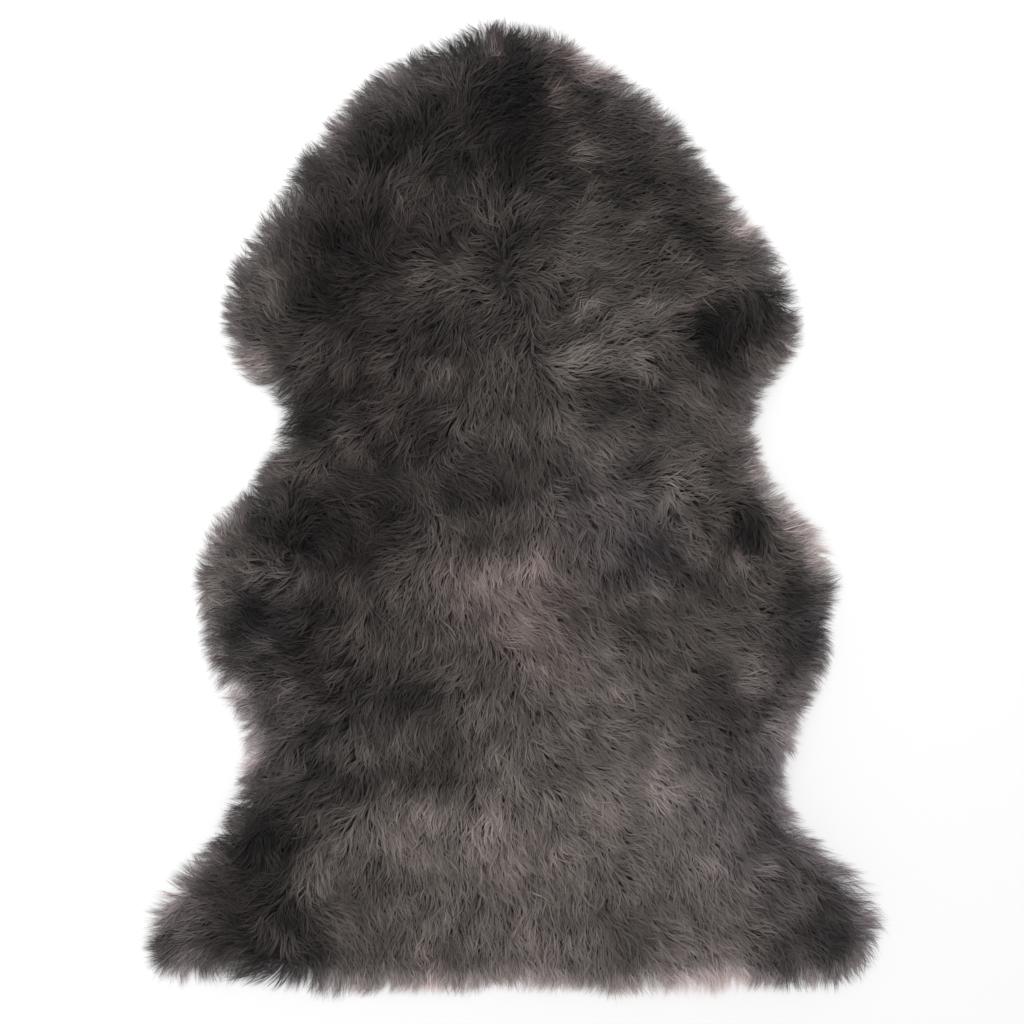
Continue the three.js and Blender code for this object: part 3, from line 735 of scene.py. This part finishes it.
class RUG_OT_make_underwool(bpy.types.Operator):
    """Grows the dense underwool: the pelt's own form, softened and sunk below the tips"""

    bl_idname = "rug.make_underwool"
    bl_label = "Make underwool"

    INSET = 15 * MM  # from the wool's outline in to the underwool's rim
    ROUNDS = 3
    OVERLAP = 0.2 * MM  # of the underwool and the skin's upper face

    @classmethod
    def draw_in(cls, mesh, field, lowest):
        """Draws the rim's locks back into the underwool, and lifts it on to the skin."""
        co = np.empty(3 * len(mesh.vertices), np.float32)
        mesh.vertices.foreach_get("co", co)
        co = co.reshape(-1, 3).astype(float)
        out_y, out_x = np.gradient(-field.inset, field.CELL)
        for _ in range(cls.ROUNDS):
            x, y = co[:, 0], co[:, 1]
            missing = np.maximum(cls.INSET - field.at(field.inset, x, y), 0)
            co[:, 0] -= field.at(out_x, x, y) * missing
            co[:, 1] -= field.at(out_y, x, y) * missing
        co[:, 2] = np.maximum(co[:, 2], lowest)
        mesh.vertices.foreach_set("co", co.astype(np.float32).ravel())
        mesh.update()

    def execute(self, context):
        wool = context.scene.sheepskin_wool
        skin = context.scene.sheepskin_skin
        piece = copy_of_pelt("underwool")
        apply_modifier(piece, "REMESH", "grain", mode="VOXEL", voxel_size=wool.voxel)
        apply_modifier(piece, "SMOOTH", "soften", factor=0.5, iterations=6)
        apply_modifier(piece, "DISPLACE", "sink", strength=-wool.sink, mid_level=0)
        crimp = bpy.data.textures.new("crimp", "CLOUDS")
        crimp.noise_scale = 7 * MM
        apply_modifier(
            piece, "DISPLACE", "crimp", texture=crimp, strength=4 * MM, mid_level=0.5,
            texture_coords="LOCAL",
        )
        self.draw_in(piece.data, fields(), skin.thickness - self.OVERLAP)
        bpy.ops.object.shade_smooth()
        piece.data.materials.append(underwool_material())
        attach(piece, BODY)
        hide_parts("pelt")
        return {"FINISHED"}


# -------- combed wool

REGIONS = ("tail", "rump", "flanks", "waist", "neck")

# One wisp, root to tip.
STATIONS = np.array([0.0, 0.33, 0.68, 1.0])  # along its length
WIDTHS = np.array([0.8, 1.0, 0.75])  # at all of its stations but the tip
LIFTS = np.array([-5.0, 0.3, 1.0, 0.6]) * MM  # over the pelt's surface
LAYERED = np.array([0.0, 0.9, 1.0, 1.0])  # how far each station takes its lock's own lift
FLOOR_CLEARANCE = 0.7 * MM
FLOOR_STRAY = 2 * MM

# Insets from the wool's outline.
ROOT_INSET = 12 * MM  # no wisp is rooted further out
RIM_ROOTS = 23 * MM  # wisps rooted nearer than this reach the outline
TIP_INSET = -9.5 * MM  # where those end on the whole
TIP_INSET_STRAY = 4.5 * MM
TUFT_RIM = 30 * MM  # how far in the rim changes the tufts

# How uneven tufts, locks and wisps are: share of length, lift, tone in stops.
TUFT_LENGTH, TUFT_LIFT, TUFT_TONE = 0.1, 0.8 * MM, 0.2
LOCK_LENGTH, LOCK_LIFT, LOCK_TONE = 0.1, 1.2 * MM, 0.14
LOCK_TURN, LOCK_WAVE = np.radians(18), 0.2
PHASE_DRIFT = 2.2  # radians, how much the waves of neighbours drift apart
WISP_LENGTH, WISP_LIFT, WISP_TONE = 0.12, 0.9 * MM, 0.08
WISP_WIDTH = 0.22
WISP_ROLL = math.radians(32)
TIP_STRAY = 0.8 * MM

# What full tousling adds to tufts and locks, and what the rim adds or takes away.
TOUSLED_LENGTH, RIM_LENGTH = 0.6, 0.25
TOUSLED_LIFT = 2 * MM
TOUSLED_TONE = 0.1
TOUSLED_TUFT_DRAW, TOUSLED_LOCK_DRAW = 0.8, 0.25
RIM_TURN_LOST, RIM_WIDTH_LOST = 0.7, 0.35

# Tones in stops, and tints, with painted shade and painted light among them.
SHADE_GAIN = 1.17  # on the table of shades
# Painted light and shade among the wisps: a wisp that lies higher is painted lighter, one that lies
# lower darker.
LAYER_PAINTED_LIGHT = 0.05  # for each millimetre that a wisp lies higher
MOTTLE_TONE, CLOUD_TONE = 0.38, 0.12
DARK_UNEVENNESS = 0.4  # more for each stop darker, and less for each stop lighter
UNEVENNESS_RANGE = (0.6, 1.6)
# Painted light at the rim: wisps near the outline are painted lighter and cooler, fading over the given
# reach.
RIM_PAINTED_LIGHT, RIM_PAINTED_LIGHT_COOL, RIM_PAINTED_LIGHT_REACH = 1.8, 0.45, 12 * MM
RIM_SHADE = 0.35  # less of the rim's light for each stop darker
RIM_SHADE_RANGE = (0.2, 1.1)


def scatter(field, count, rng):
    """Random places over the wool, as dense on its slopes as on its top, and thinner at the rim."""
    STEEPEST = 1.6
    RIM_THINNING, RIM = 0.3, 24 * MM
    places = np.empty((0, 2))
    while len(places) < count:
        x = rng.uniform(field.xs[0], field.xs[-1], 2 * count)
        y = rng.uniform(field.ys[0], field.ys[-1], 2 * count)
        slope = np.hypot(field.at(field.slope_x, x, y), field.at(field.slope_y, x, y))
        inset = field.at(field.inset, x, y)
        density = np.sqrt(1 + np.minimum(slope, STEEPEST) ** 2) / math.sqrt(1 + STEEPEST**2)
        density *= 1 - RIM_THINNING * np.exp(-((inset / RIM) ** 2))
        kept = (inset > ROOT_INSET) & (rng.uniform(size=x.shape) < density)
        places = np.vstack([places, np.column_stack([x[kept], y[kept]])])
    return places[:count]


def jittered_grid(field, pitch, rng):
    """Uneven places a pitch apart over the wool."""
    ROW_PITCH = 0.87
    JITTER = 0.42
    xs = np.arange(field.xs[0], field.xs[-1], pitch)
    ys = np.arange(field.ys[0], field.ys[-1], pitch * ROW_PITCH)
    gx, gy = np.meshgrid(xs, ys)
    gx[1::2] += pitch / 2
    places = np.column_stack([gx.ravel(), gy.ravel()])
    places += rng.uniform(-JITTER, JITTER, places.shape) * pitch
    return places[field.at(field.inset, *places.T) > ROOT_INSET / 2]


def nearest(places, centres):
    """For each place, which centre is the nearest."""
    tree = KDTree(len(centres))
    for n, (x, y) in enumerate(centres):
        tree.insert((x, y, 0), n)
    tree.balance()
    return np.array([tree.find((x, y, 0))[1] for x, y in places])


def spread(rng, count):
    """Shares even round 0, the rare far ones brought in to 2."""
    return rng.normal(size=count).clip(-2, 2)


def angle(loose, calm, tousled, more=0):
    """Radians, from the degrees for calm wool, what full tousling adds to them, and any more."""
    return np.radians(calm + tousled * loose + more)


def walk(field, places, length, turn, bend, wave, phase):
    """Paths in plan from root to tip that follow the lay, each with its turn, bend and wave."""
    path = [places]
    for start, end in zip(STATIONS, STATIONS[1:]):
        x, y = path[-1].T
        middle = (start + end) / 2
        heading = np.arctan2(field.at(field.lay_y, x, y), field.at(field.lay_x, x, y))
        heading = heading + turn + bend * (middle - 0.5) + wave * np.sin(2 * math.pi * middle + phase)
        step = length * (end - start)
        path.append(path[-1] + np.column_stack([np.cos(heading) * step, np.sin(heading) * step]))
    return np.stack(path, 1)


def end_at_rim(field, plan, target):
    """Ends the wisps near the rim at their target inset, and none further out."""
    SHORTEST, LONGEST = 0.2, 1.7
    root = field.at(field.inset, *plan[:, 0].T)
    tip = field.at(field.inset, *plan[:, -1].T)
    share = (root - target) / np.maximum(root - tip, 1 * MM)
    share = np.where((tip < target) | (root < RIM_ROOTS), np.clip(share, SHORTEST, LONGEST), 1)
    return plan[:, :1] + (plan - plan[:, :1]) * share[:, None, None]


def grow_tufts(field, tufts, rng):
    """Each tuft's own length, turn, lift and tone, and how tousled and how near the rim it is."""
    tousle = field.at(field.tousle, *tufts.T)
    parting = field.at(field.parting, *tufts.T)
    return {
        "tousle": tousle,
        "rim": np.exp(-((field.at(field.inset, *tufts.T) / TUFT_RIM) ** 2)),
        "length": 1 + TUFT_LENGTH * spread(rng, len(tufts)),
        "turn": spread(rng, len(tufts)) * angle(tousle, calm=6, tousled=10, more=12 * parting),
        "lift": spread(rng, len(tufts)) * (TUFT_LIFT + TOUSLED_LIFT * tousle),
        "tone": TUFT_TONE * spread(rng, len(tufts)),
    }


def grow_locks(field, wool, locks, tufts, tuft, rng):
    """Each lock's path, lift, tone and draw. Locks follow the lay in waves that they share with
    their neighbours, and draw in to their tuft."""
    DRAW_POWER = 1.4
    mine = nearest(locks, tufts)
    loose = tuft["tousle"][mine]
    rim = tuft["rim"][mine]
    turn = angle(loose, calm=3, tousled=16) * field.at(field.drift, *locks.T)
    turn += angle(loose, calm=5, tousled=12) * field.at(field.mottle, *locks.T)
    turn += tuft["turn"][mine] + LOCK_TURN * spread(rng, len(locks))
    turn *= 1 - RIM_TURN_LOST * rim
    bend = angle(loose, calm=18, tousled=40) * field.at(field.cloud, *locks.T)
    wave = angle(loose, calm=18, tousled=20, more=8 * rim)
    wave *= 1 + LOCK_WAVE * spread(rng, len(locks))
    phase = PHASE_DRIFT * field.at(field.ripple, *locks.T)
    length = wool.length * tuft["length"][mine] * (1 + TOUSLED_LENGTH * loose + RIM_LENGTH * rim)
    length *= 1 + LOCK_LENGTH * spread(rng, len(locks))
    path = walk(field, locks, length, turn, bend, wave, phase)
    draw = wool.tuft_draw * (1 + TOUSLED_TUFT_DRAW * loose) * (1 - rim)
    draw = draw[:, None] * STATIONS[None, :] ** DRAW_POWER
    path -= (locks - tufts[mine])[:, None, :] * draw[..., None]
    return {
        "path": path,
        "lift": tuft["lift"][mine] + spread(rng, len(locks)) * LOCK_LIFT,
        "tone": tuft["tone"][mine] + LOCK_TONE * spread(rng, len(locks)) + TOUSLED_TONE * loose,
        "draw": wool.lock_draw * (1 + TOUSLED_LOCK_DRAW * loose) * (1 - rim),
        "rim": rim,
    }


def grow_wool(field, wool, count):
    """Every wisp as points from root to tip, with its width, roll and what colours it."""
    DRAW_POWER = 1.2
    FURTHEST_OUT, FURTHEST_IN = -1.4, 2.5
    rng = np.random.default_rng(SEED + 1)
    tufts = jittered_grid(field, wool.tuft_pitch, rng)
    locks = jittered_grid(field, wool.lock_pitch, rng)
    roots = scatter(field, count, rng)
    tuft = grow_tufts(field, tufts, rng)
    lock = grow_locks(field, wool, locks, tufts, tuft, rng)

    # Wisps draw in to their lock's tip, with a little stray of their own.
    mine = nearest(roots, locks)
    lock = {key: value[mine] for key, value in lock.items()}
    size = (1 + WISP_LENGTH * spread(rng, count))[:, None, None]
    draw = lock["draw"][:, None] * STATIONS[None, :] ** DRAW_POWER
    root_from = roots - locks[mine]
    along = (lock["path"] - locks[mine][:, None, :]) * size - root_from[:, None, :] * draw[..., None]
    along += (rng.normal(size=(count, 2)) * TIP_STRAY)[:, None, :] * (STATIONS**2)[None, :, None]
    plan = roots[:, None, :] + along
    target = TIP_INSET - field.at(field.outreach, *plan[:, -1].T)
    target += rng.normal(size=count).clip(FURTHEST_OUT, FURTHEST_IN) * TIP_INSET_STRAY
    plan = end_at_rim(field, plan, target)

    layer = lock["lift"] + rng.normal(size=count) * WISP_LIFT
    rise = LIFTS[None, :] + layer[:, None] * LAYERED[None, :]
    height = field.at(field.height, plan[..., 0], plan[..., 1]) + rise
    height = np.maximum(height, FLOOR_CLEARANCE + rng.uniform(0, FLOOR_STRAY, count)[:, None])
    wisps = np.concatenate([plan, height[..., None]], -1)

    colours = wisp_colours(field, plan, layer, lock["tone"], rng)
    widths = wool.width * (1 + WISP_WIDTH * spread(rng, count)) * (1 - RIM_WIDTH_LOST * lock["rim"])
    roll = rng.normal(size=count) * WISP_ROLL
    return wisps, widths, roll, colours


def wisp_colours(field, plan, layer, lock_tone, rng):
    """Each wisp's tone and its shares of the tints: darker wool is the more uneven in tone. The tone
    holds painted shade and light from the shade table, from how high a wisp lies and at the rim.
    """
    x, y = plan[:, 1].T
    shade = field.at(field.shade, x, y)
    uneven = lock_tone + WISP_TONE * spread(rng, len(plan)) + LAYER_PAINTED_LIGHT * layer / MM
    uneven += MOTTLE_TONE * field.at(field.mottle, x, y) + CLOUD_TONE * field.at(field.cloud, x, y)
    # The shade table's part of the tone is partly painted shade and painted light.
    tone = SHADE_GAIN * shade + uneven * np.clip(1 - DARK_UNEVENNESS * shade, *UNEVENNESS_RANGE)
    # Painted light at the rim: wisps that end near the outline are painted lighter and cooler, less so
    # in darker wool.
    painted_rim_light = np.exp(-np.maximum(field.at(field.inset, *plan[:, 2].T), 0) / RIM_PAINTED_LIGHT_REACH)
    tone += RIM_PAINTED_LIGHT * painted_rim_light * np.clip(1 + RIM_SHADE * shade, *RIM_SHADE_RANGE)
    return {
        "tone": np.exp2(tone),
        "rose": field.at(field.rose, x, y),
        "cool": np.clip(field.at(field.cool, x, y) + RIM_PAINTED_LIGHT_COOL * painted_rim_light, 0, 1),
    }


def unit(vectors):
    NOT_ZERO = 1e-12
    return vectors / (np.linalg.norm(vectors, axis=-1, keepdims=True) + NOT_ZERO)


def surface_normals(field, wisps):
    x, y = wisps[..., 0], wisps[..., 1]
    slope_x, slope_y = field.at(field.slope_x, x, y), field.at(field.slope_y, x, y)
    return unit(np.stack([-slope_x, -slope_y, np.ones(x.shape)], -1))


def ribbon_mesh(name, field, wisps, widths, roll, colours):
    """One joined mesh of narrow tapering strips, each with its own cell of the bake map."""
    LOWEST = 0.3 * MM
    CELL_HEIGHT = 4  # of a cell of the bake map, in its widths
    CELL_SIDES = (0.1, 0.9)
    CELL_FOOT, CELL_SPAN = 0.06, 0.88
    count = len(wisps)
    spans = len(WIDTHS)
    tangent = unit(np.gradient(wisps, axis=1))
    side = unit(np.cross(tangent, surface_normals(field, wisps)))
    facing = np.cross(side, tangent)
    side = side * np.cos(roll)[:, None, None] + facing * np.sin(roll)[:, None, None]
    half = side[:, :-1] * (widths[:, None] * WIDTHS[None, :])[..., None] / 2
    vertices = np.empty((count, 2 * spans + 1, 3))
    vertices[:, 0:-1:2] = wisps[:, :-1] - half
    vertices[:, 1:-1:2] = wisps[:, :-1] + half
    vertices[:, -1] = wisps[:, -1]
    vertices[..., 2] = np.maximum(vertices[..., 2], LOWEST)

    per = 2 * spans + 1
    first = np.arange(count)[:, None] * per
    quads = [first + [2 * k, 2 * k + 1, 2 * k + 3, 2 * k + 2] for k in range(spans - 1)]
    loops = np.concatenate([*quads, first + [2 * spans - 2, 2 * spans - 1, 2 * spans]], 1).ravel()
    sizes = np.tile([4] * (spans - 1) + [3], count)

    mesh = bpy.data.meshes.new(name)
    mesh.vertices.add(count * per)
    mesh.vertices.foreach_set("co", vertices.astype(np.float32).ravel())
    mesh.loops.add(len(loops))
    mesh.loops.foreach_set("vertex_index", loops.astype(np.int32))
    mesh.polygons.add(len(sizes))
    mesh.polygons.foreach_set("loop_start", (np.cumsum(sizes) - sizes).astype(np.int32))
    mesh.update(calc_edges=True)
    mesh.polygons.foreach_set("use_smooth", np.ones(len(sizes), bool))

    station = np.append(np.repeat(STATIONS[:-1], 2), STATIONS[-1])
    values = {"along": np.tile(station, count)}
    for key, value in colours.items():
        values[key] = np.repeat(value, per)
    for key, value in values.items():
        attribute = mesh.attributes.new(key, "FLOAT", "POINT")
        attribute.data.foreach_set("value", value.astype(np.float32))

    columns = math.ceil(math.sqrt(count * CELL_HEIGHT))
    rows = math.ceil(count / columns)
    cell = np.arange(count)
    across = np.append(np.tile(CELL_SIDES, spans), 0.5)
    u = ((cell % columns)[:, None] + across[None, :]) / columns
    v = ((cell // columns)[:, None] + CELL_FOOT + CELL_SPAN * station[None, :]) / rows
    uv = mesh.uv_layers.new(name="OFBake")
    uv.data.foreach_set("uv", np.column_stack([u.ravel(), v.ravel()])[loops].astype(np.float32).ravel())
    mesh.validate()
    piece = bpy.data.objects.new(name, mesh)
    bpy.context.scene.collection.objects.link(piece)
    return piece


class RUG_OT_make_wool(bpy.types.Operator):
    """Grows the combed wool over the pelt, in five pieces from the tail end to the neck end"""

    bl_idname = "rug.make_wool"
    bl_label = "Make combed wool"

    def execute(self, context):
        wool = context.scene.sheepskin_wool
        field = fields()
        count = wool.strands
        wisps, widths, roll, colours = grow_wool(field, wool, count)
        order = np.argsort(wisps[:, 0, 1], kind="stable")
        material = wool_material()
        for region, members in zip(REGIONS, np.array_split(order, len(REGIONS))):
            chosen = {key: value[members] for key, value in colours.items()}
            piece = ribbon_mesh(
                "wool_" + region, field, wisps[members], widths[members], roll[members], chosen
            )
            piece.data.materials.append(material)
            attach(piece, BODY)
        return {"FINISHED"}


# -------- stage


def area_light(name, size, power, place, target):
    data = bpy.data.lights.new(name, "AREA")
    data.shape = "DISK"
    data.size = size
    data.energy = power
    light = bpy.data.objects.new(name, data)
    light.location = place
    light.rotation_euler = (Vector(target) - Vector(place)).to_track_quat("-Z", "Y").to_euler()
    bpy.context.scene.collection.objects.link(light)


class RUG_OT_make_stage(bpy.types.Operator):
    """Sets the pale floor, the soft studio light and the camera straight above"""

    bl_idname = "rug.make_stage"
    bl_label = "Make stage"

    def execute(self, context):
        stage = context.scene.sheepskin_stage
        scene = context.scene
        deselect_all()
        bpy.ops.mesh.primitive_plane_add(size=12, location=(0, 0, -0.2 * MM))
        floor = bpy.context.object
        floor.name = "studio_floor"
        material, _tree, shader, _add = new_material("studio_floor")
        finish(shader, base_color=rgba(stage.floor), roughness=0.9)
        floor.data.materials.append(material)

        area_light("key", size=2.2, power=stage.key_power, place=(-1.3, 1.5, 2.6), target=(0, 0, 0))

        world = bpy.data.worlds.new("studio")
        world.use_nodes = True
        background = world.node_tree.nodes["Background"]
        background.inputs["Color"].default_value = (1, 1, 1, 1)
        background.inputs["Strength"].default_value = stage.sky
        scene.world = world

        data = bpy.data.cameras.new("camera")
        data.sensor_width = 36
        data.lens = stage.lens
        camera = bpy.data.objects.new("camera", data)
        mid_height = 30 * MM
        across, up = -2 * MM, -3 * MM
        distance = stage.frame_width * data.lens / data.sensor_width
        camera.location = (across, up, distance + mid_height)
        scene.collection.objects.link(camera)
        scene.camera = camera
        scene.view_settings.view_transform = "Standard"
        return {"FINISHED"}


class RUG_PT_panel(bpy.types.Panel):
    """Lists the steps that dress the pelt, with their settings."""

    bl_idname = "RUG_PT_panel"
    bl_label = "Sheepskin"
    bl_space_type = "VIEW_3D"
    bl_region_type = "UI"
    bl_category = "Sheepskin"

    def draw(self, context):
        for operator, settings in STEPS:
            self.layout.operator(operator.bl_idname)
            if settings:
                group = getattr(context.scene, settings)
                for key in group.__annotations__:
                    self.layout.prop(group, key)


STEPS = (
    (RUG_OT_make_skin, "sheepskin_skin"),
    (RUG_OT_make_underwool, None),
    (RUG_OT_make_wool, "sheepskin_wool"),
    (RUG_OT_make_stage, "sheepskin_stage"),
)
GROUPS = {
    "sheepskin_skin": SkinSettings,
    "sheepskin_wool": WoolSettings,
    "sheepskin_stage": StageSettings,
}
CLASSES = (*GROUPS.values(), *(operator for operator, _ in STEPS), RUG_PT_panel)


def register():
    for cls in CLASSES:
        bpy.utils.register_class(cls)
    for name, cls in GROUPS.items():
        setattr(bpy.types.Scene, name, bpy.props.PointerProperty(type=cls))


def unregister():
    for name in GROUPS:
        delattr(bpy.types.Scene, name)
    for cls in reversed(CLASSES):
        bpy.utils.unregister_class(cls)


def main():
    register()
    bpy.ops.rug.make_skin()
    bpy.ops.rug.make_underwool()
    bpy.ops.rug.make_wool()
    bpy.ops.rug.make_stage()


if __name__ == "__main__":
    main()
